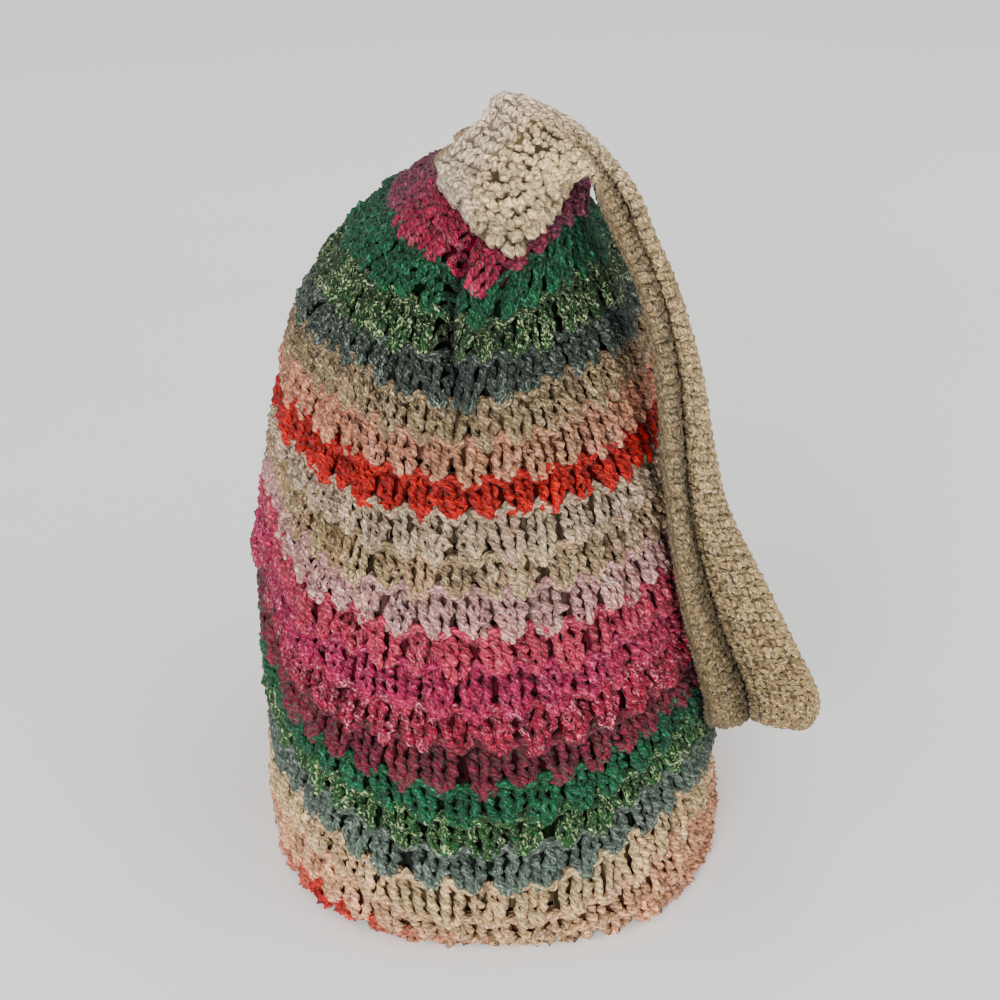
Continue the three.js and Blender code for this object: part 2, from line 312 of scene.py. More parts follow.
def place(share, row, out):
    """Points at a distance out from the body's outer face, with the outward directions there."""
    share, row, out = np.broadcast_arrays(share, row, out)
    row = ride_up(share, row)
    normal = unit(pick(OUT, share, row))
    point = pick(POINTS, share, row) + normal * (out + uneven(share, row))[..., None]
    point[..., 2] = np.maximum(point[..., 2], LOWEST_MIDDLE)
    return point, normal


STRAP_SHADOW_NEAR = 0.011  # distance from the strap within which yarn gets its painted shadow
STRAP_SHADOW_DARK = 0.55
STRAP_SHADOW_BATCH = 4096  # points measured at a time


def strap_shadow(points):
    """Painted shadow of the strap: brightness of yarn that lies close behind it."""
    flat = points.reshape(-1, 3)
    apart = np.full(len(flat), 1.0)
    for start in range(0, len(flat), STRAP_SHADOW_BATCH):
        part = flat[start:start + STRAP_SHADOW_BATCH]
        apart[start:start + STRAP_SHADOW_BATCH] = np.linalg.norm(part[:, None] - band.nearby, axis=-1).min(1)
    return 1 - STRAP_SHADOW_DARK * np.exp(-(apart.reshape(points.shape[:-1]) / STRAP_SHADOW_NEAR) ** 2)


def new_object(name, data):
    made = bpy.data.objects.new(name, data)
    bpy.context.scene.collection.objects.link(made)
    return made


class Yarn:
    """Mesh arrays of many strands or grids that make one piece."""

    def __init__(self):
        self.points, self.faces, self.tint, self.fleck, self.twist = [], [], [], [], []
        self.count = 0

    def add(self, points, faces, tint, fleck, twist):
        """Points with one row each of tint, fleck and twist, and lists of faces of one size each."""
        n = len(points)
        full = lambda values, width: np.broadcast_to(np.asarray(values, float), (n, width))
        self.points.append(points)
        self.tint.append(full(tint, 4))
        self.fleck.append(full(fleck, 4))
        self.twist.append(full(twist, 3))
        self.faces += [np.asarray(f) + self.count for f in faces if len(f)]
        self.count += n

    def tubes(self, paths, normals, radii, sides, tint, fleck, loop=False):
        """Round strands along paths; their first side faces outwards along the normals."""
        n, k = paths.shape[:2]
        if loop:
            tangent = unit(np.roll(paths, -1, 1) - np.roll(paths, 1, 1))
        else:
            tangent = unit(np.gradient(paths, axis=1))
        side = unit(np.cross(tangent, normals))
        lift = np.cross(side, tangent)
        angle = TAU * np.arange(sides) / sides
        spoke = np.cos(angle)[:, None] * lift[:, :, None] + np.sin(angle)[:, None] * side[:, :, None]
        radii = np.broadcast_to(radii, (n, k))
        rings = paths[:, :, None] + radii[:, :, None, None] * spoke
        rings[..., 2] = np.maximum(rings[..., 2], LOWEST_FACE)
        step = np.linalg.norm(np.diff(paths, axis=1), axis=-1)
        along = np.concatenate([np.zeros((n, 1)), np.cumsum(step, 1)], 1) * 1000
        along = along + rng.uniform(0, 50, (n, 1))
        twist = np.empty((n, k, sides, 3))
        twist[..., 0] = np.cos(angle)
        twist[..., 1] = np.sin(angle)
        twist[..., 2] = along[..., None]
        spread = lambda values: np.broadcast_to(values, (n, k, sides, 4)).reshape(-1, 4)
        index = np.arange(n * k * sides).reshape(n, k, sides)
        nxt = np.roll(index, -1, 2)
        ahead = np.roll(index, -1, 1) if loop else index[:, 1:]
        ahead_nxt = np.roll(nxt, -1, 1) if loop else nxt[:, 1:]
        here, here_nxt = (index, nxt) if loop else (index[:, :-1], nxt[:, :-1])
        quads = np.stack([here, here_nxt, ahead_nxt, ahead], -1).reshape(-1, 4)
        points, faces = [rings.reshape(-1, 3)], [quads]
        tints, flecks, twists = [spread(tint)], [spread(fleck)], [twist.reshape(-1, 3)]
        if not loop:
            for end, sign in ((0, -1), (-1, 1)):
                tips = paths[:, end] + sign * 0.5 * radii[:, end, None] * tangent[:, end]
                tips[:, 2] = np.maximum(tips[:, 2], LOWEST_FACE)
                first = n * k * sides + (0 if end == 0 else n)
                tip = np.repeat((first + np.arange(n))[:, None], sides, 1)
                ring = (index[:, end], nxt[:, end])
                order = (tip, ring[1], ring[0]) if end == 0 else (tip, ring[0], ring[1])
                faces.append(np.stack(order, -1).reshape(-1, 3))
                points.append(tips)
                tints.append(spread(tint).reshape(n, k, sides, 4)[:, end, 0])
                flecks.append(spread(fleck).reshape(n, k, sides, 4)[:, end, 0])
                twists.append(twist[:, end, 0])
        self.add(np.concatenate(points), faces, np.concatenate(tints), np.concatenate(flecks),
                 np.concatenate(twists))

    def piece(self, name, material):
        """The joined mesh as an object."""
        mesh = bpy.data.meshes.new(name)
        points = np.concatenate(self.points)
        mesh.vertices.add(len(points))
        mesh.vertices.foreach_set("co", points.astype(np.float32).ravel())
        sizes = np.concatenate([np.full(len(f), f.shape[1]) for f in self.faces])
        corners = np.concatenate([f.ravel() for f in self.faces])
        mesh.loops.add(len(corners))
        mesh.loops.foreach_set("vertex_index", corners.astype(np.int32))
        mesh.polygons.add(len(sizes))
        mesh.polygons.foreach_set("loop_start", (np.cumsum(sizes) - sizes).astype(np.int32))
        mesh.polygons.foreach_set("use_smooth", np.ones(len(sizes), bool))
        for title, kind, field, values in (
            ("tint", "FLOAT_COLOR", "color", self.tint),
            ("fleck", "FLOAT_COLOR", "color", self.fleck),
            ("twist", "FLOAT_VECTOR", "vector", self.twist),
        ):
            attribute = mesh.attributes.new(title, kind, "POINT")
            attribute.data.foreach_set(field, np.concatenate(values).astype(np.float32).ravel())
        mesh.update(calc_edges=True)
        mesh.validate()
        mesh.materials.append(material)
        made = new_object(name, mesh)
        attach(made, "root")
        return made


# Materials: twisted yarn with flecks, coloured by the strands' own attributes, whose tint carries painted
# shade in its fourth value
class Tree:
    """Shorthand for building one material's nodes."""

    def __init__(self, name):
        self.material = bpy.data.materials.new(name)
        self.material.use_nodes = True
        self.nodes = self.material.node_tree.nodes
        self.links = self.material.node_tree.links
        self.shader = self.nodes["Principled BSDF"]

    def node(self, kind, inputs=(), **settings):
        made = self.nodes.new(kind)
        for key, value in settings.items():
            setattr(made, key, value)
        self.fill(made, inputs)
        return made

    def fill(self, node, inputs):
        """Sets or links a node's inputs."""
        for key, value in dict(inputs).items():
            if isinstance(value, bpy.types.NodeSocket):
                self.links.new(value, node.inputs[key])
            else:
                node.inputs[key].default_value = value

    def math(self, operation, a, b=0.0):
        return self.node("ShaderNodeMath", {0: a, 1: b}, operation=operation).outputs[0]

    def spread(self, value, low, high, to_low, to_high):
        inputs = {0: value, 1: low, 2: high, 3: to_low, 4: to_high}
        return self.node("ShaderNodeMapRange", inputs).outputs[0]

    def mix(self, blend, factor, a, b):
        made = self.node("ShaderNodeMix", data_type="RGBA", blend_type=blend)
        number = {socket.identifier: k for k, socket in enumerate(made.inputs)}
        self.fill(made, {number["Factor_Float"]: factor, number["A_Color"]: a, number["B_Color"]: b})
        return next(s for s in made.outputs if s.identifier == "Result_Color")

    def grey(self, value):
        return self.node("ShaderNodeCombineColor", {0: value, 1: value, 2: value}).outputs[0]

    def finish(self, colour, bump, roughness, sheen, specular):
        """The material, with its shader's inputs filled."""
        self.fill(self.shader, {
            "Base Color": colour, "Normal": bump.outputs[0], "Roughness": roughness,
            "Sheen Weight": sheen, "Sheen Roughness": 0.45, "Specular IOR Level": specular,
        })
        return self.material


PLY_PITCH = 3.4  # millimetres along the yarn from ply to ply
RIB_PITCH = 5.6  # millimetres from rib to rib


def yarn_material(name, roughness, sheen):
    """Plied yarn: tint with flecks, uneven fibre, and painted shade between the plies and deep in the fabric.
    """
    tree = Tree(name)
    tint = tree.node("ShaderNodeAttribute", attribute_name="tint")
    fleck = tree.node("ShaderNodeAttribute", attribute_name="fleck")
    twist = tree.node("ShaderNodeAttribute", attribute_name="twist").outputs["Vector"]
    parts = tree.node("ShaderNodeSeparateXYZ", {0: twist}).outputs
    angle = tree.math("ARCTAN2", parts[1], parts[0])
    along = tree.math("MULTIPLY", parts[2], TAU / PLY_PITCH)
    phase = tree.math("ADD", tree.math("MULTIPLY", angle, 2.0), along)
    ply = tree.spread(tree.math("SINE", phase), -0.9, 0.9, 0.0, 1.0)
    stretch = {0: twist, 1: (1.0, 1.0, 0.35)}
    stretched = tree.node("ShaderNodeVectorMath", stretch, operation="MULTIPLY").outputs[0]
    fibre = tree.node("ShaderNodeTexNoise", {"Vector": stretched, "Scale": 2.6, "Detail": 4.0}).outputs[0]
    dash = tree.node("ShaderNodeTexNoise", {"Vector": stretched, "Scale": 1.6, "Detail": 1.5}).outputs[0]
    mask = tree.math("MULTIPLY", tree.spread(dash, 0.53, 0.62, 0.0, 1.0), fleck.outputs["Alpha"])
    coloured = tree.mix("MIX", mask, tint.outputs["Color"], fleck.outputs["Color"])
    worn = tree.mix("MULTIPLY", 1.0, coloured, tree.grey(tree.spread(fibre, 0.32, 0.68, 0.45, 1.55)))
    # Painted shade: darker between the plies, and by the tint's fourth value
    plied = tree.mix("MULTIPLY", 1.0, worn, tree.grey(tree.spread(ply, 0.0, 1.0, 0.66, 1.16)))
    deep = tree.mix("MULTIPLY", 1.0, plied, tree.grey(tint.outputs["Alpha"]))
    height = tree.math("ADD", ply, tree.math("MULTIPLY", fibre, 0.5))
    bump = tree.node("ShaderNodeBump", {"Strength": 0.8, "Distance": 0.0008, "Height": height})
    return tree.finish(deep, bump, roughness, sheen, 0.22)


def knit_material(name, roughness, sheen, scale, ribbed):
    """Cloth behind the strands; ribbed, from 0 to 1, gives it ribs as wide as a post, with painted shade in
    the troughs between them.
    """
    tree = Tree(name)
    tint = tree.node("ShaderNodeAttribute", attribute_name="tint")
    place_mm = tree.node("ShaderNodeAttribute", attribute_name="twist").outputs["Vector"]
    fibre = tree.node("ShaderNodeTexNoise", {"Vector": place_mm, "Scale": scale, "Detail": 5.0}).outputs[0]
    broad = tree.node("ShaderNodeTexNoise", {"Vector": place_mm, "Scale": 0.06, "Detail": 2.0}).outputs[0]
    fuzz = tree.grey(tree.spread(fibre, 0.28, 0.72, 0.62, 1.36))
    worn = tree.mix("MULTIPLY", 1.0, tint.outputs["Color"], fuzz)
    patchy = tree.mix("MULTIPLY", 1.0, worn, tree.grey(tree.spread(broad, 0.3, 0.7, 0.9, 1.1)))
    parts = tree.node("ShaderNodeSeparateXYZ", {0: place_mm}).outputs
    across = tree.math("ADD", parts[0], tree.math("MULTIPLY", broad, 6.0))
    wave = tree.math("SINE", tree.math("MULTIPLY", across, TAU / RIB_PITCH))
    rib = tree.math("MULTIPLY", tree.spread(wave, -0.8, 0.6, 0.0, 1.0), ribbed)
    # Painted shade in the troughs between the ribs, and by the tint's fourth value
    ribs = tree.mix("MULTIPLY", 1.0, patchy, tree.grey(tree.spread(rib, 0.0, 1.0, 1.0 - 0.6 * ribbed, 1.0)))
    deep = tree.mix("MULTIPLY", 1.0, ribs, tree.grey(tint.outputs["Alpha"]))
    height = tree.math("ADD", fibre, tree.math("MULTIPLY", rib, 2.0))
    bump = tree.node("ShaderNodeBump", {"Strength": 0.6, "Distance": 0.0005, "Height": height})
    return tree.finish(deep, bump, roughness, sheen, 0.08)


STRIPED_YARN = yarn_material("striped_yarn", 0.50, 0.05)
BEIGE_YARN = yarn_material("beige_yarn", 0.64, 0.08)
GROUND_CLOTH = knit_material("ground_cloth", 0.9, 0.0, 1.2, 1.0)
BEIGE_CLOTH = knit_material("beige_cloth", 0.72, 0.25, 0.9, 0.0)

# Body stitches: clusters of three twisted posts, with a twisted chain along their tops. Places up a post
# or chain are in crochet rows.
STRAND = 0.00180  # radius of a strand
TWIST = 0.00125  # from the middle of a post or chain to its two strands
DEPTH = -0.0022  # from the body's outer face to the posts
POST_STEPS = 7
POST_SIDES = 4
POST_TURNS = (1.4, 2.3)  # least and most turns of the strands in a post
# Where the posts start: crochet rows, places from the row's foot
POST_FROM = [0, 5, 6, 7, 12, 14, 19], [-0.15, -0.17, -0.27, -0.24, -0.21, -0.17, -0.17]
POST_TO = 0.90
NIPS = (0.36, 0.70)  # shares of a post's length where it is drawn in
NIP_HALF = 0.075
NIP_DEPTH = 0.0006
NIP_SHIFT = 0.15  # how far a nip moves up a post for each turn of the strands over the mean
FOOT = 0.175  # from a cluster's middle to its outer posts' feet, in clusters
HEAD = 0.320  # and to their heads
POINT = 0.35  # how far the middle post's foot reaches below the others', as a share of its start
DOME = 0.18  # how far its head reaches above the others'
CHAIN_STEPS = 7
CHAIN_ROW = 0.90
ROW_HIGH = 0.0165  # usual height of a row
PITCH = 0.0166  # usual width of a cluster
TALL_ROW = 0.021  # rows higher than this get two tiers of clusters
ROWS_A_PIECE = 4


def clusters(row):
    """Clusters in a round: fewer where the bag draws in towards its mouth."""
    return 54 if row < 14 else 50 if row < 17 else 46 if row < 19 else 42


def stripe(row):
    """Yarn colour, fleck colour and share of flecks of a row."""
    return TOP_STRIPE if row == ROWS - 1 else STRIPES[row % len(STRIPES)]


SHADE_LOW = 0.30  # brightness of the deepest yarn, in painted shade
SHADE_FROM = -0.0036  # distance from the body's outer face where it starts to brighten
SHADE_SPAN = 0.0034


def shade(depth):
    """Painted shade: brightness of yarn by its depth in the fabric."""
    return np.clip(SHADE_LOW + (1 - SHADE_LOW) * (depth - SHADE_FROM) / SHADE_SPAN, SHADE_LOW, 1.0)


def fullness(pitch):
    """Thickness of a cluster's yarn beside the usual, by the cluster's width."""
    return np.clip(pitch / PITCH, 0.8, 1.06)


# Slow wander of each boundary between two rows, in rows, and the rise of the highest one, by share
TOP_RISE = [-0.002, 0.006, 0.03, 0.06, 0.25, 0.35], [0, 0.7, 0.6, 0.45, 0.4, 0]
WANDER_TIMES = np.array([2, 3, 5, 8, 13, 21])
WANDER = rng.normal(0, 0.035, (ROWS + 2, len(WANDER_TIMES), 2)) * (WANDER_TIMES / 2.0)[:, None] ** -0.25


def wander(boundary, share):
    """How far, in rows, a boundary lies above its even height."""
    angle = TAU * WANDER_TIMES * share[..., None]
    c, d = WANDER[boundary].T
    rise = np.interp((share + 0.5) % 1 - 0.5, *TOP_RISE) * (boundary == ROWS - 1)
    return (c * np.cos(angle) + d * np.sin(angle)).sum(-1) + rise


def drift(row, share):
    """Colour that a row's yarn turns to along the row, and how far it has turned."""
    away = lambda at: (share - at + 0.5) % 1 - 0.5
    if row == 0:
        pink, beige = linear(STRIPES[1][0]), linear(STRIPES[2][0])
        middle = np.exp(-(away(0.01) / 0.045) ** 2)[:, None]
        return pink + (beige - pink) * (0.35 + 0.65 * middle), 1 - np.exp(-(away(-0.085) / 0.045) ** 2)
    if row == ROWS - 1:
        return linear(MAUVE), 1 - np.exp(-(away(-0.06) / 0.09) ** 4)
    if row == 1:
        return linear(STRIPES[2][0]), 0.35 + 0.6 * np.exp(-(away(0.0) / 0.06) ** 2)
    turned = 0.35 * np.clip(np.sin(TAU * (2 * share + 0.37 * row)), 0, 1)
    return linear(stripe(row + 1)[0]), turned * (row in BLENDED)


def row_tints(row, share, each):
    """Colours of the clusters' strands, with each strand a little different."""
    yarn, fleck, amount = stripe(row)
    count = len(share)
    later, turned = drift(row, share)
    base = linear(yarn) * (1 - turned[:, None]) + later * turned[:, None]
    base = base * np.interp(row, *ROW_TONES_AND_LIGHT)
    cluster = rng.uniform(0.86, 1.12, (count, 1, 1)) * rng.uniform(0.96, 1.04, (count, 1, 3))
    tint = base[:, None] * cluster * rng.uniform(0.84, 1.16, (count, each, 1))
    amounts = amount * rng.uniform(0.3, 1.4, (count, each))
    return tint, linear(fleck), np.clip(amounts, 0, 1)


def tiers(row):
    """Places, first rows and heights in rows of a row's clusters: two tiers of them where the row is tall."""
    count = clusters(row)
    share = (np.arange(count) + 0.5 * (row % 2)) / count
    top, low = pick(POINTS, share, np.full(count, row + 1.0)), pick(POINTS, share, np.full(count, row + 0.0))
    tall = np.linalg.norm(top - low, axis=1) > TALL_ROW
    places = np.concatenate([share, share[tall] + 0.5 / count])
    first = row + np.concatenate([np.zeros(count), np.full(tall.sum(), 0.5)])
    height = np.concatenate([np.where(tall, 0.5, 1.0), np.full(tall.sum(), 0.5)])
    return places, first, height


def add_posts(yarn, row):
    """A row's clusters; the arrays go by cluster, post, strand and step up the post."""
    places, first, height = tiers(row)
    count = len(places)
    pitch = round_at(row + 0.4) / clusters(row)
    size = fullness(pitch)
    t = np.linspace(0, 1, POST_STEPS + 1)
    shape = (count, 3, 2, POST_STEPS + 1)
    some = lambda spread, *sizes: rng.normal(0, spread, sizes)
    each = lambda values: values[:, None, None, None]
    centre = each(places + some(0.05, count) / clusters(row))
    post = np.array([-1, 0, 1])[None, :, None, None]
    strand = np.array([0, 1])[None, None, :, None]
    thick = size * np.interp(t, [0, 0.3, 0.75, 1], [0.80, 1.0, 1.02, 0.80])
    fan = (FOOT + (HEAD - FOOT) * (1 - (1 - t) ** 3)) * pitch * (1 + some(0.06, count, 1, 1, 1))
    lean = some(0.0014, count, 1, 1, 1) * (t - 0.3) + some(0.0012, count, 3, 1, 1) * (t - 0.5)
    sway = some(0.0003, count, 3, 1, 1) + some(0.0007, *shape)
    turns = rng.uniform(*POST_TURNS, (count, 3, 1, 1))
    turn = rng.uniform(0, TAU, (count, 3, 1, 1)) + TAU * turns * t + math.pi * strand
    moved = NIP_SHIFT * (turns - sum(POST_TURNS) / 2)
    nip = sum(np.exp(-((t - at - moved) / NIP_HALF) ** 2) for at in NIPS)
    side = post * fan + lean + sway + TWIST * thick * np.cos(turn)
    swell = np.interp(t, [0, 0.22, 0.55, 0.85, 1], [0.0009, 0.0016, 0.0014, 0.0003, -0.0010])
    puff = some(0.0005, count, 1, 1, 1) + some(0.00035, count, 3, 1, 1) + 0.0006 * (1 - np.abs(post))
    out = DEPTH + swell + puff - NIP_DEPTH * nip + TWIST * thick * np.sin(turn) + some(0.0003, *shape)
    reach = some(0.06, count, 1, 1, 1) * t + some(0.05, count, 1, 1, 1) * (1 - t)
    reach = reach + some(0.04, count, 3, 1, 1)
    foot = np.interp(row, *POST_FROM)
    reach = reach - (np.abs(post) - 0.5) * (POINT * foot * (1 - t) + DOME * t)
    within = each(first) - row + each(height) * t
    shift = wander(row, centre) * (1 - within) + wander(row + 1, centre) * within
    at_row = each(first) + each(height) * (foot + (POST_TO - foot) * t + reach) + shift
    at_row = np.clip(at_row, -1, ROWS - 0.02)
    share = centre + side / round_at(at_row)
    paths, normals = place(*np.broadcast_arrays(share, at_row, out))
    tint, fleck, amount = row_tints(row, places, 6)
    strands = count * 6
    spots = rng.uniform(0.58, 1.42, (strands, POST_STEPS + 1, 1, 1))
    # Painted shade: darker deep in the fabric, close behind the strap, in the slit and at the nips
    dark = shade(np.broadcast_to(out, shape)) * strap_shadow(paths) * (1 - SLIT_PAINTED_SHADE * slit(share, at_row))
    dark = (dark * (1.08 - 0.45 * nip)).reshape(strands, POST_STEPS + 1, 1)
    colour = with_fourth(tint.reshape(strands, 1, 1, 3) * spots, dark)
    specks = with_fourth(fleck, amount.reshape(strands, 1, 1))
    radii = STRAND * np.broadcast_to(thick * (1.08 - 0.30 * nip), shape).reshape(strands, POST_STEPS + 1)
    radii = radii * rng.uniform(0.70, 1.30, radii.shape)
    flat = lambda grid: grid.reshape(strands, POST_STEPS + 1, 3)
    yarn.tubes(flat(paths), flat(normals), radii, POST_SIDES, colour, specks)


def add_chain(yarn, row):
    """The chain along a row's top, two strands twisted round each other."""
    count = clusters(row)
    pitch = round_at(row + CHAIN_ROW) / count
    size = fullness(pitch)
    steps = count * CHAIN_STEPS
    m = np.arange(steps) / CHAIN_STEPS
    turn = TAU * 1.5 * m + math.pi * np.array([[0], [1]])
    scallop = 0.12 * np.cos(TAU * (m - 0.5 * (row % 2)))
    jolt = np.interp(m, np.arange(count + 1), np.resize(rng.normal(0, 0.03, count), count + 1))
    middle = row + CHAIN_ROW + scallop + jolt + wander(row + 1, m / count)
    at_row = np.clip(middle + 0.9 * TWIST * size / ROW_HIGH * np.cos(turn), -1, ROWS)
    out = DEPTH + 0.0004 + TWIST * size * np.sin(turn)
    paths, normals = place(np.broadcast_to(m / count, out.shape), at_row, out)
    tint, fleck, amount = row_tints(row, np.arange(count) / count, 2)
    spread = lambda values: np.repeat(np.swapaxes(values, 0, 1), CHAIN_STEPS, 1)
    # Painted shade: darker deep in the fabric, close behind the strap and in the slit
    dark = shade(out) * strap_shadow(paths) * (1 - SLIT_PAINTED_SHADE * slit(m / count, at_row))
    spots = rng.uniform(0.68, 1.32, (2, steps, 1, 1))
    colour = with_fourth(spread(tint)[:, :, None] * spots, dark[..., None])
    specks = with_fourth(fleck, spread(amount)[..., None])
    radii = 0.95 * STRAND * size * rng.uniform(0.75, 1.25, (2, steps))
    yarn.tubes(paths, normals, radii, 4, colour, specks, loop=True)


def body_stitches():
    """The rows of clusters, in pieces of a few rows."""
    made = []
    for first in range(0, ROWS, ROWS_A_PIECE):
        yarn = Yarn()
        for row in range(first, first + ROWS_A_PIECE):
            add_posts(yarn, row)
            add_chain(yarn, row)
        made.append(yarn.piece(f"body_rows_{first + 1:02d}_{first + ROWS_A_PIECE:02d}", STRIPED_YARN))
    return made


# Cloth behind the stitches, with the gaps between clusters left open: places of its lines across a
# cluster and up a row, distance out from the body's outer face, brightness that paints shade in the gaps and
# inside
GROUND = ([-0.08, 0.08, 0.36, 0.64], [0.0, 0.10, 0.28, 0.50, 0.75, 1.0], -0.0030, 0.14)
INSIDE = ([-0.08, 0.08], [0.0, 0.10, 0.28, 1.0], -0.0040, 0.7)
GROUND_SLIT = 4.0  # width of the cloth's groove behind the slit, in slits
ROUND_MM, ROW_MM = 940, 16.5  # size of the cloth that its texture is laid out on
BASE_HIGH = 0.0034  # height of the base's cloth over the floor
BASE_STEPS = 108
BASE_RINGS = np.array([1.0, 0.75, 0.5, 0.25, 0.04])  # sizes of the base's rings beside its edge
BASE_ROUNDS = np.linspace(0.97, 0.09, 14)  # and of its rounds of chain
BASE_YARN = 0.0026
BASE_SINK = 0.0003  # how far the rounds lie below the cloth


def ground_rows(yarn, columns, lines, out, bright):
    """A sheet round the body that leaves a gap beside each cluster and stays behind the slit."""
    lines = np.array(lines)
    for row in range(-1, ROWS):
        count = clusters(row)
        marks = (np.arange(count)[:, None] + columns).ravel()
        share, at_row = np.meshgrid((marks + 0.5 * (row % 2) + 0.5) / count, row + lines)
        points, _ = place(share, at_row, out - SLIT_DEPTH * slit(share, at_row, GROUND_SLIT))
        k, n = share.shape
        index = np.arange(k * n).reshape(k, n)
        nxt = np.roll(index, -1, 1)
        quads = np.stack([index[:-1], nxt[:-1], nxt[1:], index[1:]], -1)
        keep = np.ones(quads.shape[:2], bool)
        if row >= 1:
            keep[1:2, 0::len(columns)] = False
        below, here = linear(stripe(row - 1)[0]), linear(stripe(row)[0])
        # Painted shade: the cloth's tint darkened to the given brightness
        yarn_tint = with_fourth(np.where((lines < 0.05)[:, None, None], below, here), np.full((k, n), bright))
        at = np.stack([share * ROUND_MM, at_row * ROW_MM, np.zeros_like(share)], -1)
        yarn.add(points.reshape(-1, 3), [quads[keep]], yarn_tint.reshape(-1, 4), (0, 0, 0, 0),
                 at.reshape(-1, 3))


def body_inside():
    """The wall's inner face."""
    yarn = Yarn()
    ground_rows(yarn, *INSIDE)
    return yarn.piece("body_inside", GROUND_CLOTH)


def body_ground():
    """The wall behind the stitches, and the base in rings from the lowest row to the middle."""
    yarn = Yarn()
    ground_rows(yarn, *GROUND)
    rim, _ = place(np.arange(BASE_STEPS) / BASE_STEPS, np.full(BASE_STEPS, -1.0), 0.0)
    rim[:, 2] = BASE_HIGH
    rings = rim[None] * np.stack([BASE_RINGS, BASE_RINGS, np.ones_like(BASE_RINGS)], -1)[:, None]
    index = np.arange(len(BASE_RINGS) * BASE_STEPS).reshape(-1, BASE_STEPS)
    nxt = np.roll(index, -1, 1)
    quads = np.stack([index[:-1], index[1:], nxt[1:], nxt[:-1]], -1).reshape(-1, 4)
    flat = rings.reshape(-1, 3)
    yarn.add(flat, [quads, index[-1:][:, ::-1]], (*linear(BEIGE_LOW), 0.8), (0, 0, 0, 0), flat * 1000)
    return yarn.piece("body_ground", GROUND_CLOTH)


def base_rounds():
    """Close rounds of thick chain that make the base."""
    yarn = Yarn()
    for k, scale in enumerate(BASE_ROUNDS):
        steps = max(24, int(120 * scale))
        rim, _ = place(np.arange(steps) / steps, np.full(steps, -1.0), 0.0)
        ring = rim * scale
        ring[:, 2] = BASE_HIGH - BASE_SINK
        up = np.zeros_like(ring)
        up[:, 2] = 1
        colour = linear(stripe(12 - k % 2)[0])
        yarn.tubes(ring[None], up[None], BASE_YARN, 6, (*colour, 0.85), (*linear(BEIGE), 0.3), loop=True)
    return yarn.piece("base_rounds", STRIPED_YARN)


# Strap: single crochet on both faces of a thin core, rows of V stitches and rows of bumps by turns
STITCHES_ACROSS = 13
STITCH = 0.0032  # height of a stitch row
ROOT_STITCH = 0.0022  # added to it at the near root
STRAP_CORE = 0.0008  # half the core's thickness
LOOP_STEPS = 3
LOOP_SIZE = 0.345  # radius of a loop's yarn, as a share of its stitch
FINE = 4  # grid steps to a stitch
VALLEY_DEEPER = 1.3  # depth of the strap's valley beside the solid's
ROLLS = (0.28, 0.14)  # height of the rolls beside the valley, inner and outer, as shares of its depth
LOW_FROM, LOW_TO, LOW_FADE = 0.26, 0.60, 0.1  # length along the strap of its hanging part
ROOT_TO, ROOT_FADE = 0.125, 0.07  # and of its near root
# Painted shade: darkening in the strap's valley, over its inner half, along its inner edge and at its near
# foot
VALLEY_DARK, INNER_DARK, INNER_EDGE_DARK, FOOT_DARK = 0.92, 0.36, 0.55, 0.4
EDGE_STRAND = 0.0015  # radius of the strands along the strap's edges
EDGE_TWIST = 0.0012
EDGE_OUT = 0.0004  # how far they stand off the edge
EDGE_TURN = 2.1  # radians to a grid step of two


def mouth(share, height):
    """Point in the middle of the wall at the mouth, raised along the wall, with its up and out."""
    top = np.full(share.shape, float(ROWS))
    up, out = unit(pick(UP, share, top)), unit(pick(OUT, share, top))
    return pick(POINTS, share, top) - out * WALL / 2 + up * height, up, out


def strap_lines(t):
    """Middle lines across the strap, from the near root over the loop to the far root."""
    def root(spec, rise):
        way = t * np.where(t < 0, spec["left"], spec["right"])
        foot, up, out = mouth(spec["start"] + spec["turn"] * way / round_at(ROWS), ROOT_SEAM)
        lap = spec["lap"] * (1 - rise / (2 * ROOT_RISE)) * ramp(-t, 0.3)[:, None]
        return foot + (0.6 * out - up) * lap + np.array([0, 0, rise])

    a, b, valley, crease = STRAP[:, :3] / 1000, STRAP[:, 3:6] / 1000, STRAP[:, 6] / 1000, STRAP[:, 7]
    middle = (a + b) / 2
    before = np.concatenate([middle[:1], middle[:-1]])
    after = np.concatenate([middle[1:], middle[-1:]])
    out = unit(np.cross(b - a, after - before))
    push = np.where((valley < 0)[:, None], out, np.array([0, -VALLEY_DEEPER, 0]))
    side = np.abs(t)
    mix = ((t + crease[:, None] * (1 - side) + 1) / 2)[..., None]
    rolls = np.where(t > 0, *ROLLS) * np.sin(math.pi * t) ** 2
    fold = (1 - side) ** VALLEY_POWER + 0.25 * (1 - side) ** 8 - rolls
    profile = np.where(valley[:, None] < 0, 1 - side**1.5, fold)
    lines = a[:, None] * (1 - mix) + b[:, None] * mix - push[:, None] * (valley[:, None] * profile)[..., None]
    near = [root(ROOT_NEAR, rise) for rise in (0, ROOT_RISE)]
    far = [root(ROOT_FAR, rise) for rise in (ROOT_RISE, 0)]
    return np.concatenate([near, lines, far])


def along_lines(lines, w):
    """Smooth points through the lines at places w, counted in lines."""
    padded = np.concatenate([2 * lines[:1] - lines[1:2], lines, 2 * lines[-1:] - lines[-2:-1]])
    i = np.minimum(w.astype(int), len(lines) - 2)
    u = (w - i)[:, None, None]
    p0, p1, p2, p3 = (padded[i + k] for k in range(4))
    return smooth(u, p1, 0.5 * (p2 - p0), p2, 0.5 * (p3 - p1))


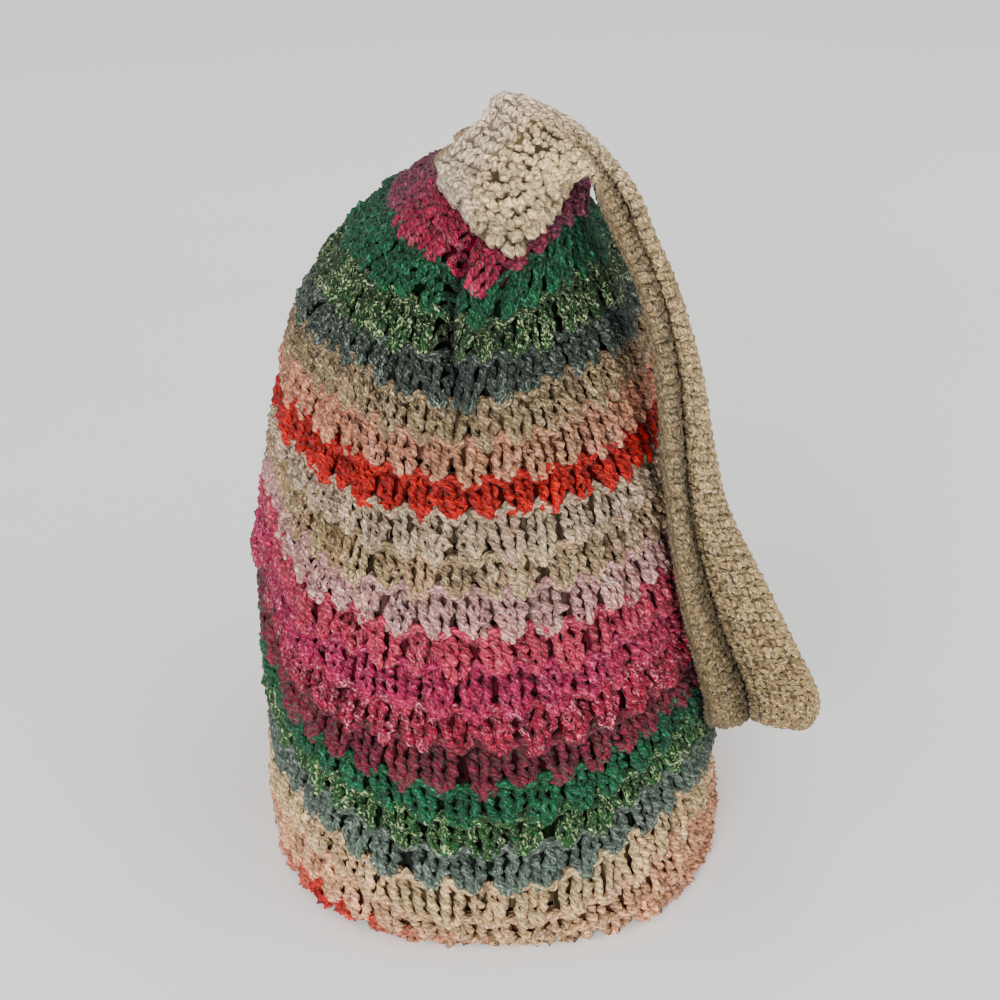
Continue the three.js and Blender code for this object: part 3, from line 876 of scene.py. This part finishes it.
class Band:
    """Middle surface of the strap by stitch row and stitch across, with its colours and painted shade."""

    def __init__(self):
        t = np.linspace(-1, 1, FINE * STITCHES_ACROSS + 1)
        lines = strap_lines(t)
        dense = np.linspace(0, len(lines) - 1, 40 * (len(lines) - 1) + 1)
        walked = walk(along_lines(lines, dense)[:, len(t) // 2])
        size = STITCH + ROOT_STITCH * np.exp(-walked / 0.035)
        stitch = np.concatenate([[0], np.cumsum(np.diff(walked) / ((size[1:] + size[:-1]) / 2))])
        self.rows = int(round(stitch[-1]))
        w = np.interp(np.linspace(0, stitch[-1], self.rows * FINE + 1), stitch, dense)
        self.middle = along_lines(lines, w)
        side = np.gradient(self.middle, axis=1)
        self.out = unit(np.cross(side, np.gradient(self.middle, axis=0)))
        self.side = unit(side)
        across = np.linalg.norm(np.diff(self.middle, axis=1), axis=-1).sum(1)
        where = np.interp(w, dense, walked)
        spot = (np.interp(where, walked, size) * across / STITCHES_ACROSS) ** 0.5
        self.cell = np.broadcast_to(spot[:, None, None], (*self.out.shape[:2], 1))
        low = ramp(where - LOW_FROM, LOW_FADE) * ramp(LOW_TO - where, LOW_FADE)
        root = ramp(ROOT_TO - where, ROOT_FADE)
        colour = linear(BEIGE) * (1 - low[:, None]) + linear(BEIGE_LOW) * low[:, None]
        colour = colour * (1 - root[:, None]) + linear(BEIGE_ROOT) * root[:, None]
        valley = np.interp(w, np.arange(len(lines)), np.concatenate([[0, 0], STRAP[:, 6], [0, 0]]))
        # Painted shade of the hanging part's valley, inner half and inner edge, and of the strap's near foot
        hang = ramp(valley, 9)[:, None]
        groove = hang * np.where(t < 0, 1 - np.abs(t), np.abs(1 - t) ** 0.5) ** 5
        inner = hang * ramp(t + 0.1, 0.3)
        edge = hang * ramp(t - 0.72, 0.28)
        bright = (1 - VALLEY_DARK * groove) * (1 - INNER_DARK * inner) * (1 - INNER_EDGE_DARK * edge)
        bright = bright * (1 - FOOT_DARK * np.exp(-where / 0.018)[:, None])
        self.tint = with_fourth(colour[:, None], bright)
        pale = root[:, None] * ramp(-t - 0.25, 0.3)
        self.tint[..., :3] += pale[..., None] * (linear(BEIGE_PALE) - self.tint[..., :3])
        gappy = root[:, None] * ramp(t + 0.4, 0.3) * ramp(0.85 - t, 0.3)
        self.gappy = gappy[..., None]
        self.flat = (across.mean(), walked[-1])
        self.nearby = self.middle[::8, ::6].reshape(-1, 3)

    def at(self, grid, row, across):
        """Value of a grid at stitch rows and stitches across."""
        return between(grid, np.clip(row, 0, self.rows) * FINE, np.clip(across, 0, STITCHES_ACROSS) * FINE)


def strap_cloth(band):
    """Thin closed cloth that carries the strap's loops."""
    middle, out, tint = band.middle[::FINE, ::2], band.out[::FINE, ::2], band.tint[::FINE, ::2].copy()
    # Painted shade: the core darkened between the loops, browner and darker still in the root's gaps
    tint[..., :3] *= 1 - band.gappy[::FINE, ::2] * np.array([0.1, 0.25, 0.4])
    tint[..., 3] *= 0.30 - 0.23 * band.gappy[::FINE, ::2, 0]
    k, n = out.shape[:2]
    grid = np.arange(k * n).reshape(k, n)
    quads = np.stack([grid[:-1, :-1], grid[:-1, 1:], grid[1:, 1:], grid[1:, :-1]], -1).reshape(-1, 4)
    faces = [quads, quads[:, ::-1] + k * n]
    for line, flip in ((grid[:, 0], False), (grid[:, -1], True), (grid[0], True), (grid[-1], False)):
        strip = np.stack([line[:-1], line[1:], line[1:] + k * n, line[:-1] + k * n], -1)
        faces.append(strip[:, ::-1] if flip else strip)
    points = np.concatenate([middle + out * STRAP_CORE, middle - out * STRAP_CORE]).reshape(-1, 3)
    tints = np.concatenate([tint, tint]).reshape(-1, 4)
    yarn = Yarn()
    yarn.add(points, faces, tints, (0, 0, 0, 0), points * 1000)
    return yarn.piece("strap_cloth", BEIGE_CLOTH)


def strap_loops(band, name, sign, sides):
    """Loops on one face of the strap: two arms to a V stitch, one to a bump."""
    yarn = Yarn()
    q = np.linspace(0, 1, LOOP_STEPS + 1)
    arch = np.array([0.1, 1.0, 1.0, 0.25])
    some = lambda spread, *sizes: rng.normal(0, spread, sizes)
    for bumps in (False, True):
        rows = np.arange(int(bumps == (sign > 0)), band.rows, 2)
        grids = np.meshgrid(rows, np.arange(STITCHES_ACROSS), indexing="ij")
        row, across = (grid.reshape(-1, 1) for grid in grids)
        knob = band.at(band.gappy, row + 0.5, across + 0.5)[..., 0]
        across = across + 0.5 + (1 + 0.9 * knob) * some(0.09, *across.shape)
        row = row + knob * some(0.16, *row.shape)
        if bumps:
            u = row + 0.5 + some(0.10, *row.shape) + some(0.14, len(row), len(q))
            v = across + (q - 0.5) * (1.05 - 0.35 * knob + some(0.1, *row.shape))
        else:
            row, across, knob = (np.repeat(grid, 2, 0) for grid in (row, across, knob))
            arm = np.resize([[-1], [1]], row.shape)
            u = row + 0.49 + (1.22 - 0.40 * knob) * (q - 0.5) + some(0.10, *row.shape)
            v = across + arm * (0.235 + 0.31 * (1 - 0.4 * knob) * (q - 0.5)) + some(0.05, len(row), len(q))
        count, k = u.shape
        out = sign * unit(band.at(band.out, u, v))
        gappy = band.at(band.gappy, u, v)[..., 0]
        thick = LOOP_SIZE * band.at(band.cell, u, v)[..., 0] * rng.uniform(0.84, 1.18, (count, 1))
        thick = thick * (1 + 0.22 * gappy)
        rise = STRAP_CORE + thick * (0.9 * arch - 0.3 + some(0.12, count, 1))
        paths = band.at(band.middle, u, v) + out * rise[..., None]
        colour = band.at(band.tint, u, v)[:, :, None]
        loop_tint = rng.uniform(0.70, 1.30, (count, 1, 1, 1))
        colour[..., :3] *= loop_tint * rng.uniform(0.66, 1.34, (count, k, 1, 1))
        # Painted shade: the loops darker towards their ends, where they dip to the core, and in the root's
        # gaps
        colour[..., 3] *= (0.42 + 0.58 * arch - 0.40 * gappy * (1 - 0.8 * arch))[..., None]
        specks = with_fourth(linear(BEIGE_FLECK), rng.uniform(0.1, 0.6, (count, 1, 1)))
        yarn.tubes(paths, out, thick * np.interp(q, [0, 0.4, 1], [0.8, 1.0, 0.85]), sides, colour, specks)
    if sign > 0:
        strap_edges(yarn, band)
    return yarn.piece(name, BEIGE_YARN)


def strap_edges(yarn, band):
    """A twisted pair of strands along each long edge."""
    for column, way in ((0, -1), (-1, 1)):
        line, out, side = (grid[::2, column] for grid in (band.middle, band.out, band.side))
        turn = np.arange(len(line)) * EDGE_TURN
        for half in (0, math.pi):
            path = line + way * side * EDGE_OUT + EDGE_TWIST * (
                np.cos(turn + half)[:, None] * out + np.sin(turn + half)[:, None] * side)
            colour = band.tint[::2, column][None, :, None].copy()
            colour[..., :3] *= rng.uniform(0.75, 1.25, (1, len(line), 1, 1))
            radii = EDGE_STRAND * rng.uniform(0.85, 1.2, (1, len(line)))
            yarn.tubes(path[None], out[None], radii, 5, colour, (*linear(BEIGE_FLECK), 0.3))


ROPES = ((0.0022, 0.0), (0.0050, 1.3))  # height over the mouth and phase of the edging's ropes
ROPE_STRAND = 0.00135
ROPE_WIDE, ROPE_HIGH = 0.0013, 0.0009  # from a rope's middle to its strands, sideways and up
ROPE_TURN = 0.008  # length to a turn
ROPE_STEP = 0.0011
EDGING_CLEAR = 0.0035  # between an edging and the strap's roots


def edging(name, start, stop):
    """Edging along the mouth from one share to another: two twisted ropes, one above the other."""
    yarn = Yarn()
    length = (stop - start) * round_at(ROWS)
    steps = int(length / ROPE_STEP)
    u = np.linspace(0, 1, steps + 1)
    share = start + (stop - start) * u
    colour = linear(BEIGE)
    for height, phase in ROPES:
        foot, up, out = mouth(share, height)
        turn = TAU * u * round(length / ROPE_TURN) + phase
        for half in (0, math.pi):
            sway, rise = ROPE_WIDE * np.cos(turn + half), ROPE_HIGH * np.sin(turn + half)
            path = foot + out * sway[:, None] + up * rise[:, None]
            # Painted shade: each strand darker where it turns to the back of the rope
            bright = 0.75 + 0.25 * np.cos(turn + half)
            tint = with_fourth(colour * rng.uniform(0.92, 1.06), bright[None, :, None])
            yarn.tubes(path[None], up[None], ROPE_STRAND, 5, tint, (*linear(EDGING_FLECK), 0.3))
    return yarn.piece(name, BEIGE_YARN)


def area_light(name, place_at, target, size, power):
    """A round soft light that faces its target."""
    data = bpy.data.lights.new(name, "AREA")
    data.shape = "DISK"
    data.size = size
    data.energy = power
    lamp = new_object(name, data)
    lamp.location = place_at
    away = np.array(place_at) - np.array(target)
    tilt = math.atan2(math.hypot(away[0], away[1]), away[2])
    lamp.rotation_euler = (tilt, 0, math.atan2(away[0], -away[1]))


# Camera at the photograph's angle: the place that it looks at, its distance, rise and angle of view
LOOK_X, LOOK_Z = 0.0056, 0.141
CAMERA_AWAY = 1.35
CAMERA_RISE = math.radians(22)
CAMERA_VIEW = math.radians(20.6)
camera = new_object("camera", bpy.data.cameras.new("camera"))
camera.location = (LOOK_X, -CAMERA_AWAY * math.cos(CAMERA_RISE), LOOK_Z + CAMERA_AWAY * math.sin(CAMERA_RISE))
camera.rotation_euler = (math.pi / 2 - CAMERA_RISE, 0, 0)
camera.data.sensor_fit = "HORIZONTAL"
camera.data.angle = CAMERA_VIEW
camera.data.clip_start = 0.05
bpy.context.scene.camera = camera

# The pieces
band = Band()
stitches = body_stitches()
ground = body_ground()
inside = body_inside()
base = base_rounds()
strap = strap_cloth(band)
loops = [strap_loops(band, "strap_front", 1, 4), strap_loops(band, "strap_back", -1, 3)]
whole = round_at(ROWS)
clear = EDGING_CLEAR / whole
right = edging("edging_right", ROOT_NEAR["right"] / whole + clear, 0.5 - ROOT_FAR["right"] / whole - clear)
left = edging("edging_left", 0.5 + ROOT_FAR["left"] / whole + clear, 1 - ROOT_NEAR["left"] / whole - clear)

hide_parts("bag_body")
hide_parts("strap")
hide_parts("rim_right")
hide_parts("rim_left")

# Pale floor and soft light
FLOOR_HALF = 6.0
FLOOR_GLOW = 0.2
STUDIO_GLOW = 0.88
floor_mesh = bpy.data.meshes.new("floor")
corners = [(x * FLOOR_HALF, y * FLOOR_HALF, 0) for x, y in ((-1, -1), (1, -1), (1, 1), (-1, 1))]
floor_mesh.from_pydata(corners, [], [(0, 1, 2, 3)])
floor = new_object("floor", floor_mesh)
pale = Tree("pale_floor")
speck = pale.node("ShaderNodeTexNoise", {"Scale": 40.0, "Detail": 3.0}).outputs[0]
pale.fill(pale.shader, {
    "Base Color": pale.grey(pale.spread(speck, 0.3, 0.7, 0.90, 0.93)), "Roughness": 0.9,
    "Emission Color": (1, 1, 1, 1), "Emission Strength": FLOOR_GLOW,
})
floor_mesh.materials.append(pale.material)
floor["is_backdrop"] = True

world = bpy.data.worlds.new("studio")
bpy.context.scene.world = world
world.use_nodes = True
world.node_tree.nodes["Background"].inputs[0].default_value = (1.0, 0.99, 0.97, 1)
world.node_tree.nodes["Background"].inputs[1].default_value = STUDIO_GLOW

area_light("key", (-0.40, -1.95, 0.60), (0, 0, 0.12), 0.6, 42)
area_light("fill", (1.1, -1.6, 0.5), (0, 0, 0.10), 1.0, 9)
area_light("back", (0.4, 1.4, 1.3), (0, 0, 0.2), 0.9, 5)

new_box = [[float(v) for v in corner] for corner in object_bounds()]
{"cad": CAD_BOX, "visual": new_box, "strap_flat": [float(v) for v in band.flat]}
